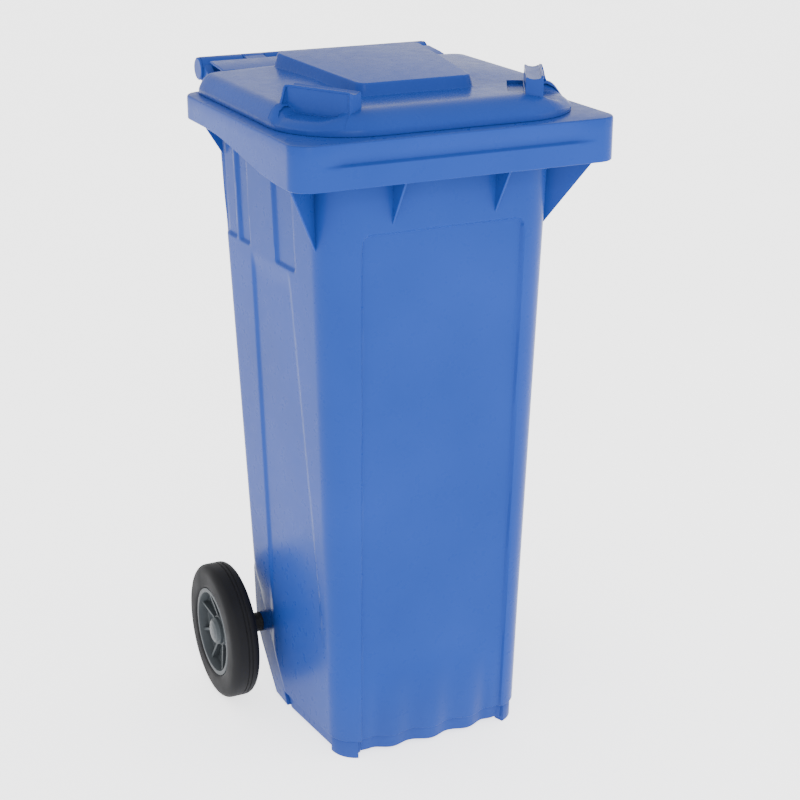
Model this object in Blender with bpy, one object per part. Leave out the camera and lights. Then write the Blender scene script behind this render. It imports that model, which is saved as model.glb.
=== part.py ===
"""Two-wheeled wheelie bin, 80-litre class: body, hinged lid, axle and two wheels.

Frame: +Z up, the front of the bin faces -Y. The origin is on the ground, under the
centre of the whole bin's box. All sizes are metres.
"""
import math

import bmesh
import bpy
from mathutils import Matrix, Vector

# Overall sizes.
OVERALL_DEPTH = 0.483          # front of the rim to the back of the handle barrels
FRONT_Y = -OVERALL_DEPTH / 2
WALL = 0.004                   # moulded wall of the body
GAP = 0.0003                   # clearance between neighbouring pieces

# Rim: the flat flange around the mouth with its downturned skirt.
RIM_HALF = 0.2225
RIM_DEPTH = 0.404
RIM_TOP = 0.887
RIM_CORNER = 0.028
RIM_EDGE = 0.002
SKIRT_FRONT_Z = 0.831          # bottom of the skirt at the front
SKIRT_REAR_Z = 0.855           # bottom of the skirt at the back
GROOVE_Z = 0.861               # recessed line along the front of the rim
GROOVE_DEPTH = 0.005

# Tub: each pair is the size at the base and at the rim, straight in between.
BASE_Z = 0.028
TUB_FRONT_HALF = (0.141, 0.1657)
TUB_REAR_HALF = (0.158, 0.1845)
TUB_FRONT_BACK = (0.075, 0.0473)      # front wall, behind the rim's front edge
TUB_REAR_BACK = (0.3554, 0.3945)      # rear wall, behind the rim's front edge
TUB_FRONT_RADIUS = (0.040, 0.052)
TUB_REAR_RADIUS = 0.024
FRONT_WALL = 0.006
BAND_INSET = 0.005             # the band under the tub is set in
BAND_BOTTOM = 0.006
FLOOR_BOTTOM = 0.012
FLOOR_TOP = 0.0165
BAY_TOP = 0.180                # below this the rear wall slants forward, over the axle
BAY_SLOPE = 0.55

# Recessed panel on the front.
PANEL_HALF = (0.109, 0.114)
PANEL_TOP = 0.758
PANEL_RADIUS = 0.014
PANEL_DEPTH = 0.0025

# Front feet: curved blocks under the front corners.
FOOT_RADII = (0.024, 0.0415)
FOOT_TOPS = (0.013, 0.024)
FOOT_TURNS = (-70, -3)

# Ribs under the rim.
RIB = 0.003
FRONT_RIB_X = 0.072
FRONT_RIB_LOW_Z = 0.766
CORNER_RIB_START = (0.1587, 0.0921)   # x and distance behind the front
CORNER_RIB_WAY = Vector((0.733, -0.680))
CORNER_RIB_LOW_Z = 0.742
REAR_RIB_BACK = 0.364
REAR_RIB_LOW_Z = 0.806

# Webs behind the slanted wall that carry the axle.
CHEEK = (0.1475, 0.1555)
BAY_RIB = (0.048, 0.054)
WEB_HEIGHTS = (0.009, 0.026, 0.034, BAY_TOP, BAY_TOP + 0.030)
CHEEK_ROOTS = (0.0200, 0.0200, 0.0185, 0.0100, 0.0085)
BAY_RIB_ROOTS = (0.0070, 0.0066, 0.0034, 0.0020, 0.0020)

# Hinge: the handle barrels, the lid's knuckles and the pins share one axis.
HINGE = Vector((0.0, FRONT_Y + 0.467, 0.906))
BARREL_RADIUS = 0.016
BARREL_END = 0.173
KNUCKLE = (0.079, 0.111)
KNUCKLE_GAP = 0.0005
ARM = 0.011
PIN_RADIUS = 0.007
PIN_INNER = 0.060
BLIND_BORE_END = 0.0585
PIN_HEAD = 0.003
PIN_HEAD_RADIUS = 0.0156

# Lid. Each row is height, inset from the side edges and inset from the front edge.
LID_BOTTOM = RIM_TOP + GAP
LID_HALF = 0.206
LID_FRONT = 0.021              # front edge, behind the rim's front edge
LID_REAR = 0.400
LID_FRONT_RADIUS = 0.105
LID_REAR_RADIUS = 0.025
LID_SHELL = 0.0035
LID_ROWS = ((LID_BOTTOM, 0.0, 0.0), (0.893, 0.0, 0.0), (0.9035, 0.004, 0.008),
            (0.911, 0.009, 0.019), (0.915, 0.016, 0.033))
PLATEAU_FOOT_Z = 0.918
PLATEAU_FRONT = 0.134          # raised plateau, behind the rim's front edge
PLATEAU_REAR = 0.352
PLATEAU_HALF = (0.079, 0.107)
PLATEAU_Z = (0.930, 0.941)
PLATEAU_FOOT_SPREAD = 0.006
PLATEAU_RADIUS = 0.012

# Grips at the lid's front corners: a ridge between an outer scoop and an inner recess.
# Plan places are x and distance behind the rim's front edge.
GRIP_REAR = Vector((0.179, 0.132))
GRIP_FRONT = Vector((0.133, 0.046))
RIDGE_WIDTH = 0.021
RIDGE_TOP = 0.936
RIDGE_END = 0.002              # the ridge runs this far past both ends of the scoop
# Each row of a scoop's floor: inset from the lid's edge, height, and height at its rear and front ends.
SCOOP_ROWS = ((-0.0120, 0.8890, 0.8890, 0.8890), (0.0015, 0.8935, 0.8960, 0.8945),
              (0.0060, 0.8975, 0.9052, 0.8995), (0.0110, 0.9005, 0.9105, 0.9042),
              (0.0165, 0.9025, 0.9135, 0.9075))
SCOOP_BACK = (0.9040, 0.9138, 0.9120)
SCOOP_FADE = (0.12, 0.70)      # the ends blend into the lid before and after these shares
SCOOP_PLATE = (0.0050, 0.0012) # how far the floor plate reaches below and above the cut
PLATE_SINK = 0.0004
SCOOP_STEPS = 10
SCOOP_REAR_WAY = Vector((0.993, -0.119))
SCOOP_FRONT_WAY = Vector((0.661, -0.750))
SCOOP_REAR_RETURN = ((-0.004, 0.900), (-0.004, 0.935), (0.0015, 0.934), (0.0045, 0.922), (0.0078, 0.9135),
                     (0.0125, 0.9075), (0.020, 0.900))
GRIP_WALL = 0.004
RECESS_WIDTH = (0.020, 0.044)  # from the grip line inwards
RECESS_LENGTH = (-0.002, 0.080)
RECESS_FLOOR = 0.910
TRAY = 0.0035

# Running gear.
WHEEL_RADIUS = 0.100
WHEEL_CENTRE = Vector((0.0, FRONT_Y + 0.341, WHEEL_RADIUS))
AXLE_RADIUS = 0.010
AXLE_HALF = 0.2262
AXLE_BORE = AXLE_RADIUS + GAP
SLEEVE = (CHEEK[1] + GAP, 0.1900)
SLEEVE_RADIUS = 0.0145
WASHER = (0.1903, 0.1918)
WASHER_RADIUS = 0.0165
HUB_FACE = (0.1921, 0.2220)
HUB_BOSS_RADIUS = 0.022
HUB_RING = (0.0580, 0.0655)
HUB_RING_X = (0.1960, 0.2325)
HUB_WEB_X = (0.2060, 0.2110)
HUB_SPOKES = 8
HUB_SPOKE_HALF = 0.0017
TYRE_X = (0.192, 0.234)
TYRE_SHOULDER = (0.010, 0.012)
NUT = (0.2223, 0.2252)
NUT_RADIUS = 0.0150
CAP_X = (0.2223, 0.2335)
CAP_RADIUS = 0.0205
CAP_WALL = 0.002

BAR_STEPS = 32
WHEEL_STEPS = 48

PLASTIC_BLUE = (0.105, 0.195, 0.500)
PLASTIC_BLACK = (0.018, 0.019, 0.020)
HUB_GREY = (0.095, 0.120, 0.130)
RUBBER_BLACK = (0.040, 0.042, 0.048)
STEEL = (0.560, 0.570, 0.580)


def clear_scene():
    for item in list(bpy.data.objects):
        bpy.data.objects.remove(item, do_unlink=True)


def behind(distance):
    """Y of a place given by its distance behind the rim's front edge."""
    return FRONT_Y + distance


def mix(pair, share):
    return pair[0] + (pair[1] - pair[0]) * share


def smooth_step(value):
    value = min(max(value, 0.0), 1.0)
    return value * value * (3 - 2 * value)


def make_material(name, color, roughness, metallic=0.0):
    made = bpy.data.materials.new(name)
    made.use_nodes = True
    shader = made.node_tree.nodes["Principled BSDF"]
    shader.inputs["Base Color"].default_value = (*color, 1.0)
    shader.inputs["Roughness"].default_value = roughness
    shader.inputs["Metallic"].default_value = metallic
    made.diffuse_color = (*color, 1.0)
    return made


def make_object(name, builder, finish, location=(0, 0, 0)):
    """Turn a bmesh into a named object whose origin is at the location."""
    bmesh.ops.remove_doubles(builder, verts=builder.verts, dist=1e-6)
    bmesh.ops.recalc_face_normals(builder, faces=builder.faces)
    mesh = bpy.data.meshes.new(name)
    builder.to_mesh(mesh)
    builder.free()
    mesh.shade_smooth()
    mesh.set_sharp_from_angle(angle=math.radians(35))
    made = bpy.data.objects.new(name, mesh)
    bpy.context.scene.collection.objects.link(made)
    made.location = location
    if finish is not None:
        mesh.materials.append(finish)
    return made


def combine(target, name, builder, operation):
    """Join a tool solid to the target, or cut the target with it."""
    tool = make_object(name, builder, None)
    tool.hide_render = True
    tool.display_type = "WIRE"
    modifier = target.modifiers.new(name, "BOOLEAN")
    modifier.operation = operation
    modifier.solver = "EXACT"
    modifier.use_self = operation == "UNION"
    modifier.object = tool


def move_origin(target, place):
    """Put an object's origin at a place without moving its mesh in the world."""
    target.data.transform(Matrix.Translation(-place))
    target.location = place


def outline(front_half, rear_half, front_y, rear_y, front_radius, rear_radius, corner_steps=5, edge_steps=4):
    """A four-sided outline with rounded corners, from the middle of the front round by the right."""
    slant = math.atan2(rear_half - front_half, rear_y - front_y)

    def corner(y, radius, start, end):
        centre_x = front_half + (y - front_y) * math.tan(slant) - radius / math.cos(slant)
        turns = [start + (end - start) * step / corner_steps for step in range(corner_steps + 1)]
        return [(centre_x + radius * math.cos(turn), y + radius * math.sin(turn)) for turn in turns]

    def between(start, end):
        shares = [step / edge_steps for step in range(1, edge_steps)]
        return [(start[0] + (end[0] - start[0]) * s, start[1] + (end[1] - start[1]) * s) for s in shares]

    front_arc = corner(front_y + front_radius, front_radius, -math.pi / 2, -slant)
    rear_arc = corner(rear_y - rear_radius, rear_radius, -slant, math.pi / 2)
    front = (0.0, front_y)
    rear = (0.0, rear_y)
    right = [front, *between(front, front_arc[0]), *front_arc]
    right += [*between(front_arc[-1], rear_arc[0]), *rear_arc, *between(rear_arc[-1], rear)]
    left = [(-x, y) for x, y in reversed(right[1:])]
    return right + [rear] + left


def add_loft(builder, rings):
    """Add the skin through closed rings of points, with a face over each end."""
    loops = [[builder.verts.new(point) for point in ring] for ring in rings]
    count = len(loops[0])
    for lower, upper in zip(loops, loops[1:]):
        for i in range(count):
            j = (i + 1) % count
            builder.faces.new((lower[i], lower[j], upper[j], upper[i]))
    builder.faces.new(list(reversed(loops[0])))
    builder.faces.new(loops[-1])


def add_prism(builder, base, shift):
    """Add the solid swept by a flat polygon along a straight shift."""
    moved = [Vector(point) + Vector(shift) for point in base]
    add_loft(builder, [base, moved])


def circle(x, radius, steps, centre=(0.0, 0.0)):
    turns = [math.tau * step / steps for step in range(steps)]
    return [(x, centre[0] + radius * math.cos(turn), centre[1] + radius * math.sin(turn)) for turn in turns]


def add_rods(builder, spans, radius, centre):
    """Add plain round rods along X over each (low, high) span."""
    for low, high in spans:
        add_loft(builder, [circle(low, radius, BAR_STEPS, centre), circle(high, radius, BAR_STEPS, centre)])


def turned_solid(profile, steps=BAR_STEPS):
    """A solid turned about X from (x, radius) points, closed by flat ends."""
    builder = bmesh.new()
    add_loft(builder, [circle(x, radius, steps) for x, radius in profile])
    return builder


def turned_ring(profile, steps=BAR_STEPS):
    """A ring turned about X from a closed profile of (x, radius) points."""
    builder = bmesh.new()
    loops = [[builder.verts.new(point) for point in circle(x, radius, steps)] for x, radius in profile]
    for lower, upper in zip(loops, loops[1:] + loops[:1]):
        for i in range(steps):
            j = (i + 1) % steps
            builder.faces.new((lower[i], lower[j], upper[j], upper[i]))
    return builder


def tube_profile(low, high, inner, outer, chamfer=0.0006):
    return [(low, inner), (low, outer - chamfer), (low + chamfer, outer), (high - chamfer, outer),
            (high, outer - chamfer), (high, inner)]


def mirrored(profile, side):
    return [(side * x, radius) for x, radius in profile]


# ---------------------------------------------------------------- body

def tub_share(z):
    return (z - BASE_Z) / (RIM_TOP - BASE_Z)


def rear_wall(z):
    """Distance of the rear wall behind the rim's front edge."""
    return mix(TUB_REAR_BACK, tub_share(z)) - max(0.0, BAY_TOP - z) * BAY_SLOPE


def tub_ring(z, inset=0.0, front_inset=None):
    """Ring around the tub; the front wall may have its own inset."""
    share = tub_share(z)
    front_inset = inset if front_inset is None else front_inset
    ring = outline(
        mix(TUB_FRONT_HALF, share) - inset, mix(TUB_REAR_HALF, share) - inset,
        behind(mix(TUB_FRONT_BACK, share) + front_inset), behind(rear_wall(z) - inset),
        mix(TUB_FRONT_RADIUS, share) - inset, TUB_REAR_RADIUS - inset)
    return [(x, y, z) for x, y in ring]


def skirt_bottom(y):
    """The skirt is deep at the front and shorter from the middle of the sides on."""
    share = smooth_step((y - behind(0.052)) / 0.26)
    return SKIRT_FRONT_Z + (SKIRT_REAR_Z - SKIRT_FRONT_Z) * share


def rim_ring(height, inset=0.0, front_inset=0.0):
    """Ring around the rim; the height is a number or a function of y."""
    ring = outline(
        RIM_HALF - inset, RIM_HALF - inset, behind(inset + front_inset), behind(RIM_DEPTH - inset),
        RIM_CORNER - inset, RIM_CORNER - inset)
    return [(x, y, height(y) if callable(height) else height) for x, y in ring]


def body_shell():
    """Tub, floor, flange and skirt as one skin, from the floor's underside round to its top."""
    under_flange = RIM_TOP - WALL
    band = BAND_INSET + WALL
    builder = bmesh.new()
    add_loft(builder, [
        tub_ring(FLOOR_BOTTOM, band),
        tub_ring(BAND_BOTTOM, band),
        tub_ring(BAND_BOTTOM, BAND_INSET),
        tub_ring(BASE_Z - 0.0015, BAND_INSET),
        tub_ring(BASE_Z),
        tub_ring(BAY_TOP),
        tub_ring(under_flange),
        rim_ring(under_flange, WALL, 0.0015),
        rim_ring(GROOVE_Z + 0.001, WALL, GROOVE_DEPTH),
        rim_ring(GROOVE_Z - 0.004, WALL),
        rim_ring(skirt_bottom, WALL),
        rim_ring(skirt_bottom),
        rim_ring(GROOVE_Z - 0.0025),
        rim_ring(GROOVE_Z, 0.0, GROOVE_DEPTH),
        rim_ring(RIM_TOP - RIM_EDGE),
        rim_ring(RIM_TOP, RIM_EDGE),
        tub_ring(RIM_TOP, WALL, FRONT_WALL),
        tub_ring(BAY_TOP, WALL, FRONT_WALL),
        tub_ring(BASE_Z + 0.012, WALL, FRONT_WALL),
        tub_ring(BASE_Z - 0.002, band),
        tub_ring(FLOOR_TOP, band + WALL),
    ])
    return builder


def add_side_prism(builder, profile, low_x, high_x):
    """Add a prism across X from a profile of (distance behind the front, z) points."""
    base = [(low_x, behind(back), z) for back, z in profile]
    add_prism(builder, base, (high_x - low_x, 0, 0))


def axle_webs():
    """Cheeks and ribs under the slanted wall that carry the axle."""
    back_edge = [(rear_wall(BAY_TOP) + 0.001, BAY_TOP), (0.360, 0.128), (0.357, 0.100), (0.349, 0.082),
                 (0.337, 0.066), (0.284, WEB_HEIGHTS[0])]
    builder = bmesh.new()
    for (low, high), roots in ((CHEEK, CHEEK_ROOTS), (BAY_RIB, BAY_RIB_ROOTS)):
        front_edge = [(rear_wall(z) - root, z) for z, root in zip(WEB_HEIGHTS, roots)]
        for side in (-1, 1):
            add_side_prism(builder, back_edge + front_edge, side * low, side * high)
    return builder


def front_feet():
    """Two curved feet under the front corners."""
    builder = bmesh.new()
    centre_x = TUB_FRONT_HALF[0] - TUB_FRONT_RADIUS[0]
    centre_y = behind(TUB_FRONT_BACK[0] + TUB_FRONT_RADIUS[0])
    inner, outer = FOOT_RADII
    section = [(inner, 0.0), (outer, 0.0), (outer, FOOT_TOPS[1]), (inner, FOOT_TOPS[0])]
    steps = 6
    for side in (-1, 1):
        rings = []
        for step in range(steps + 1):
            turn = math.radians(mix(FOOT_TURNS, step / steps))
            rings.append([(side * (centre_x + radius * math.cos(turn)), centre_y + radius * math.sin(turn), z)
                          for radius, z in section])
        add_loft(builder, rings)
    return builder


def rim_ribs():
    """Thin ribs between the tub and the underside of the rim."""
    builder = bmesh.new()
    top = RIM_TOP - WALL / 2
    front_profile = [(0.0530, FRONT_RIB_LOW_Z), (0.002, 0.8485), (0.002, 0.8565), (0.0065, GROOVE_Z),
                     (0.0035, top), (0.0500, top)]
    corner_profile = [(0.0022, CORNER_RIB_LOW_Z), (0.0843, 0.8450), (0.0843, top), (0.0078, top)]
    rear_profile = [(0.1798, REAR_RIB_LOW_Z), (0.2205, 0.8710), (0.2205, top), (0.1822, top)]
    corner_start = Vector((CORNER_RIB_START[0], behind(CORNER_RIB_START[1])))
    corner_across = Vector((-CORNER_RIB_WAY.y, CORNER_RIB_WAY.x)) * RIB
    for side in (-1, 1):
        middle = side * FRONT_RIB_X
        add_side_prism(builder, front_profile, middle - RIB / 2, middle + RIB / 2)
        base = []
        for along, z in corner_profile:
            place = corner_start + CORNER_RIB_WAY * along - corner_across / 2
            base.append((side * place.x, place.y, z))
        add_prism(builder, base, (side * corner_across.x, corner_across.y, 0))
        base = [(side * x, behind(REAR_RIB_BACK), z) for x, z in rear_profile]
        add_prism(builder, base, (0, RIB, 0))
    return builder


def handle_arms():
    """Flat arms from the back of the rim to the barrels."""
    builder = bmesh.new()
    profile = [(0.4018, 0.8580), (0.4018, 0.8850), (0.4650, 0.9195), (0.4740, 0.8940)]
    for place in (BARREL_END - ARM - 0.001, KNUCKLE[1] + 0.0015, KNUCKLE[0] - ARM - 0.0015):
        add_side_prism(builder, profile, place, place + ARM)
        add_side_prism(builder, profile, -place - ARM, -place)
    return builder


def handle_barrels():
    """Round barrels behind the rim; the middle one is the grip."""
    outer_start = KNUCKLE[1] + KNUCKLE_GAP
    grip_end = KNUCKLE[0] - KNUCKLE_GAP
    builder = bmesh.new()
    spans = [(outer_start, BARREL_END), (-BARREL_END, -outer_start), (-grip_end, grip_end)]
    add_rods(builder, spans, BARREL_RADIUS, (HINGE.y, HINGE.z))
    return builder


def front_panel():
    """Cutter for the shallow recessed panel on the front."""
    builder = bmesh.new()
    turns = [math.radians(90 * step / 4) for step in range(5)]
    arc = [(PANEL_HALF[1] - PANEL_RADIUS + PANEL_RADIUS * math.cos(turn),
            PANEL_TOP - PANEL_RADIUS + PANEL_RADIUS * math.sin(turn)) for turn in turns]
    right = [(PANEL_HALF[0], BASE_Z + 0.0005), *arc]
    left = [(-x, z) for x, z in reversed(right)]
    base = [(x, behind(mix(TUB_FRONT_BACK, tub_share(z)) + PANEL_DEPTH), z) for x, z in right + left]
    add_prism(builder, base, (0, -0.020, 0))
    return builder


def hinge_bores():
    """Cutters for the pin holes in the body's barrels."""
    builder = bmesh.new()
    beyond = BARREL_END + 0.01
    spans = [(BLIND_BORE_END, beyond), (-beyond, -BLIND_BORE_END)]
    add_rods(builder, spans, PIN_RADIUS + GAP, (HINGE.y, HINGE.z))
    return builder


def axle_bores():
    builder = bmesh.new()
    reach = CHEEK[1] + 0.05
    add_rods(builder, [(-reach, reach)], AXLE_BORE, (WHEEL_CENTRE.y, WHEEL_CENTRE.z))
    return builder


def make_body(finish):
    body = make_object("bin_body", body_shell(), finish)
    combine(body, "axle_webs", axle_webs(), "UNION")
    combine(body, "front_feet", front_feet(), "UNION")
    combine(body, "rim_ribs", rim_ribs(), "UNION")
    combine(body, "handle_arms", handle_arms(), "UNION")
    combine(body, "handle_barrels", handle_barrels(), "UNION")
    combine(body, "front_panel", front_panel(), "DIFFERENCE")
    combine(body, "hinge_bores", hinge_bores(), "DIFFERENCE")
    combine(body, "axle_bores", axle_bores(), "DIFFERENCE")
    return body


# ---------------------------------------------------------------- lid

def lid_ring(row, shell=0.0):
    """Ring around the lid for one row; the inner skin is moved in and down by the shell."""
    z, side_inset, front_inset = row
    at_edge = z == LID_BOTTOM
    side_inset += shell
    front_inset += shell
    ring = outline(
        LID_HALF - side_inset, LID_HALF - side_inset, behind(LID_FRONT + front_inset),
        behind(LID_REAR - side_inset), LID_FRONT_RADIUS - side_inset, LID_REAR_RADIUS - side_inset / 2,
        corner_steps=8, edge_steps=6)
    height = z if at_edge else z - shell
    return [(x, y, height) for x, y in ring]


def plateau_ring(spread, height):
    """Ring around the raised plateau; the height is a function of y."""
    ring = outline(
        PLATEAU_HALF[0] + spread, PLATEAU_HALF[1] + spread, behind(PLATEAU_FRONT) - spread,
        behind(PLATEAU_REAR) + spread, PLATEAU_RADIUS, PLATEAU_RADIUS, corner_steps=8, edge_steps=6)
    return [(x, y, height(y)) for x, y in ring]


def plateau_top(y):
    """The plateau rises towards the hinge."""
    share = (y - behind(PLATEAU_FRONT)) / (PLATEAU_REAR - PLATEAU_FRONT)
    return mix(PLATEAU_Z, share)


def lid_shell():
    """Outer skin from the edge up to the plateau, then the inner skin back down."""
    shell = LID_SHELL
    outer = [lid_ring(row) for row in LID_ROWS]
    outer.append(plateau_ring(PLATEAU_FOOT_SPREAD, lambda y: PLATEAU_FOOT_Z))
    outer.append(plateau_ring(0.0, plateau_top))
    inner = [
        plateau_ring(-shell, lambda y: plateau_top(y) - shell),
        plateau_ring(PLATEAU_FOOT_SPREAD - shell, lambda y: PLATEAU_FOOT_Z - shell)]
    inner += [lid_ring(row, shell) for row in reversed(LID_ROWS) if row != LID_ROWS[1]]
    builder = bmesh.new()
    add_loft(builder, list(reversed(outer[1:])) + [outer[0]] + list(reversed(inner)))
    return builder


def grip_along():
    return (GRIP_FRONT - GRIP_REAR).normalized()


def grip_place(along, outward):
    """Plan place from the distance along the grip line and the distance outwards from it."""
    way = grip_along()
    return GRIP_REAR + way * along + Vector((-way.y, way.x)) * outward


def grip_box(along, outward):
    """Four corners of a block along the grip line."""
    return [grip_place(along[0], outward[0]), grip_place(along[1], outward[0]),
            grip_place(along[1], outward[1]), grip_place(along[0], outward[1])]


def add_column(builder, plan, low, high, side):
    base = [(side * place.x, behind(place.y), low) for place in plan]
    add_prism(builder, base, (0, 0, high - low))


def end_angle(start, way, radius):
    """Angle around the lid's corner where a line from a grip's end meets a radius."""
    centre = Vector((LID_HALF - LID_FRONT_RADIUS, LID_FRONT + LID_FRONT_RADIUS))
    offset = start - centre
    along = offset.dot(way)
    place = offset + way * (math.sqrt(along ** 2 - offset.length_squared + radius ** 2) - along)
    return math.atan2(place.y, place.x)


def scoop_grid(rows, back, spare):
    """Rows of (x, distance, height) over a scoop's floor, from the lid's edge in to the grip line."""
    centre = Vector((LID_HALF - LID_FRONT_RADIUS, LID_FRONT + LID_FRONT_RADIUS))
    length = (GRIP_FRONT - GRIP_REAR).length
    rear = grip_place(-spare, -spare)
    front = grip_place(length + spare, -spare)
    grid = []
    for inset, floor, rear_end, front_end in (*rows, (None, *back)):
        row = []
        for step in range(SCOOP_STEPS + 1):
            share = step / SCOOP_STEPS
            if inset is None:
                place = rear + (front - rear) * share
            else:
                radius = LID_FRONT_RADIUS - inset
                low = end_angle(rear, SCOOP_REAR_WAY, radius)
                high = end_angle(front, SCOOP_FRONT_WAY, radius)
                turn = low + (high - low) * share
                place = centre + Vector((math.cos(turn), math.sin(turn))) * radius
            fall = smooth_step(share / SCOOP_FADE[0])
            climb = smooth_step((share - SCOOP_FADE[1]) / (1 - SCOOP_FADE[1]))
            height = floor + (rear_end - floor) * (1 - fall) + (front_end - floor) * climb
            row.append((place.x, place.y, height))
        grid.append(row)
    return grid


def add_block(builder, low, high, side):
    """Add the solid between two grids of the same plan."""
    layers = []
    for grid in (low, high):
        layers.append([[builder.verts.new((side * x, behind(y), z)) for x, y, z in row] for row in grid])
    rows, columns = len(low), len(low[0])
    for layer in layers:
        for i in range(rows - 1):
            for j in range(columns - 1):
                builder.faces.new((layer[i][j], layer[i + 1][j], layer[i + 1][j + 1], layer[i][j + 1]))
    border = [(0, j) for j in range(columns)] + [(i, columns - 1) for i in range(1, rows)]
    border += [(rows - 1, j) for j in range(columns - 2, -1, -1)] + [(i, 0) for i in range(rows - 2, 0, -1)]
    for (i, j), (k, m) in zip(border, border[1:] + border[:1]):
        builder.faces.new((layers[0][i][j], layers[0][k][m], layers[1][k][m], layers[1][i][j]))


def lifted(grid, change):
    return [[(x, y, change(z)) for x, y, z in row] for row in grid]


def add_return_wall(builder, start, way, thick_way, profile, side):
    """Add the wall that closes one end of a scoop; its profile runs outwards from the grip line."""
    base = []
    for distance, z in profile:
        place = start + way * distance - thick_way * 0.002
        base.append((side * place.x, behind(place.y), z))
    add_prism(builder, base, (side * thick_way.x * 0.006, thick_way.y * 0.006, 0))


def grip_solids():
    """Floors, ridges, end walls and recess trays of both grips, before the hollows are cut."""
    builder = bmesh.new()
    length = (GRIP_FRONT - GRIP_REAR).length
    below, above = SCOOP_PLATE
    plate_rows = [(max(inset, 0.0022), floor, rear_end - PLATE_SINK, front_end - PLATE_SINK)
                  for inset, floor, rear_end, front_end in SCOOP_ROWS[1:]]
    floor, rear_end, front_end = SCOOP_BACK
    plate = scoop_grid(plate_rows, (floor, rear_end - PLATE_SINK, front_end - PLATE_SINK), GRIP_WALL)
    for side in (-1, 1):
        add_block(builder, lifted(plate, lambda z: z - below), lifted(plate, lambda z: z + above), side)
        ridge = grip_box((-RIDGE_END, length + RIDGE_END), (0.001, -RIDGE_WIDTH))
        add_column(builder, ridge, 0.901, RIDGE_TOP, side)
        rear_thick = Vector((-SCOOP_REAR_WAY.y, SCOOP_REAR_WAY.x))
        add_return_wall(builder, GRIP_REAR, SCOOP_REAR_WAY, rear_thick, SCOOP_REAR_RETURN, side)
        tray = grip_box((RECESS_LENGTH[0] - TRAY, RECESS_LENGTH[1] + TRAY),
                        (-RECESS_WIDTH[0] + 0.001, -RECESS_WIDTH[1] - TRAY))
        add_column(builder, tray, RECESS_FLOOR - TRAY, RECESS_FLOOR + 0.0035, side)
    return builder


def grip_hollows():
    """Cutters for the scoops, the inner recesses and the hollows under the ridges."""
    builder = bmesh.new()
    length = (GRIP_FRONT - GRIP_REAR).length
    scoop = scoop_grid(SCOOP_ROWS, SCOOP_BACK, 0.0)
    recess = grip_box(RECESS_LENGTH, (-RECESS_WIDTH[0], -RECESS_WIDTH[1]))
    hollow = grip_box((RIDGE_END, length - RIDGE_END), (-GRIP_WALL, -RIDGE_WIDTH + GRIP_WALL + 0.001))
    for side in (-1, 1):
        add_block(builder, scoop, lifted(scoop, lambda z: RIDGE_TOP + 0.03), side)
        add_column(builder, recess, RECESS_FLOOR, RIDGE_TOP + 0.03, side)
        add_column(builder, hollow, LID_BOTTOM - 0.01, RIDGE_TOP - GRIP_WALL, side)
    return builder


def lid_knuckles():
    """Barrels of the lid around the hinge pins, with the arms that carry them."""
    profile = [(0.388, 0.8905), (0.388, 0.9105), (0.462, 0.9205), (0.470, 0.8935), (0.452, 0.8905)]
    builder = bmesh.new()
    low, high = KNUCKLE
    add_rods(builder, [(low, high), (-high, -low)], BARREL_RADIUS, (HINGE.y, HINGE.z))
    for side in (-1, 1):
        add_side_prism(builder, profile, side * (low + 0.001), side * (high - 0.001))
    return builder


def knuckle_bores():
    builder = bmesh.new()
    low, high = KNUCKLE[0] - 0.005, KNUCKLE[1] + 0.005
    add_rods(builder, [(low, high), (-high, -low)], PIN_RADIUS + GAP, (HINGE.y, HINGE.z))
    return builder


def make_lid(finish):
    lid = make_object("lid", lid_shell(), finish)
    combine(lid, "lid_knuckles", lid_knuckles(), "UNION")
    combine(lid, "knuckle_bores", knuckle_bores(), "DIFFERENCE")
    combine(lid, "grip_solids", grip_solids(), "UNION")
    combine(lid, "grip_hollows", grip_hollows(), "DIFFERENCE")
    move_origin(lid, HINGE)


def make_hinge_pin(name, side, finish):
    seat = BARREL_END + GAP
    profile = [(PIN_INNER, PIN_RADIUS - 0.001), (PIN_INNER + 0.001, PIN_RADIUS), (seat, PIN_RADIUS),
               (seat, PIN_HEAD_RADIUS), (seat + PIN_HEAD - 0.001, PIN_HEAD_RADIUS),
               (seat + PIN_HEAD, PIN_HEAD_RADIUS - 0.0015)]
    make_object(name, turned_solid(mirrored(profile, side)), finish, HINGE)


# ---------------------------------------------------------------- running gear

def make_axle(finish):
    bevel = 0.0015
    profile = [(-AXLE_HALF, AXLE_RADIUS - bevel), (bevel - AXLE_HALF, AXLE_RADIUS),
               (AXLE_HALF - bevel, AXLE_RADIUS), (AXLE_HALF, AXLE_RADIUS - bevel)]
    make_object("axle", turned_solid(profile), finish, WHEEL_CENTRE)


def tyre_profile():
    """Tyre section: flat tread, round shoulders, seat on the hub."""
    low, high = TYRE_X
    wide, tall = TYRE_SHOULDER
    flank = WHEEL_RADIUS - tall
    seat = HUB_RING[1] + GAP
    turns = [math.radians(90 * step / 4) for step in range(5)]
    points = [(low + 0.003, seat), (low, seat + 0.006)]
    points += [(low + wide * (1 - math.sin(turn)), flank + tall * math.cos(turn)) for turn in reversed(turns)]
    points += [(high - wide * (1 - math.sin(turn)), flank + tall * math.cos(turn)) for turn in turns]
    points += [(high, seat + 0.006), (high - 0.003, seat)]
    return points


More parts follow.
